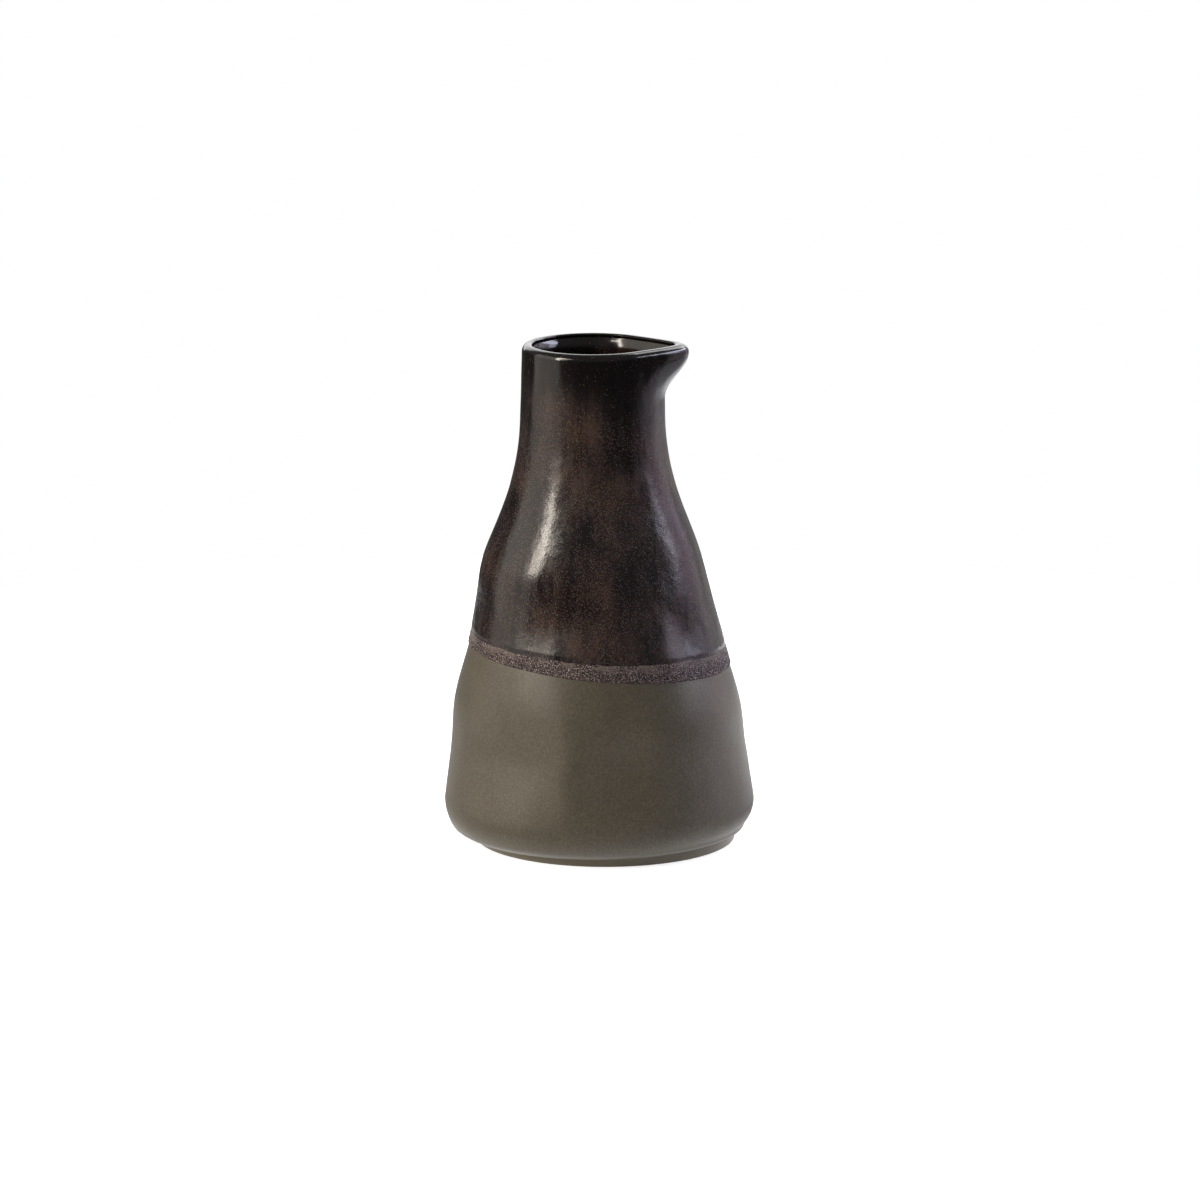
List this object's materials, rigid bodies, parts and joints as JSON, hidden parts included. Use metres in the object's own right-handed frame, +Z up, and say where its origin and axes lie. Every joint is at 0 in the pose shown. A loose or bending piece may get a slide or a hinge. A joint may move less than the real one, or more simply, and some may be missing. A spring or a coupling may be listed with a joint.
{
  "type": "sauce jug",
  "caption": "Hand-shaped stoneware jug with a wide belly, a narrow neck and a pulled pouring spout, its upper half dipped in dark gloss glaze over bare clay.",
  "frame": {"origin": "on the table under the middle of the belly", "axes": "+Z up along the jug's axis, +X towards the spout"},
  "size_m": [0.0927, 0.0922, 0.15],
  "materials": {
    "bare_stoneware": "unglazed grey-olive stoneware, satin",
    "dark_glaze": "gloss brown-black glaze with fine speckle",
    "dry_crust": "dry rough purple-brown edge of the glaze",
    "liner": "gloss brown-black glaze"
  },
  "bodies": {
    "root": {"stoneware_body": "bare_stoneware", "outer_glaze": "dark_glaze", "rough_band": "dry_crust", "liner_glaze": "liner"}
  },
  "joints": []
}
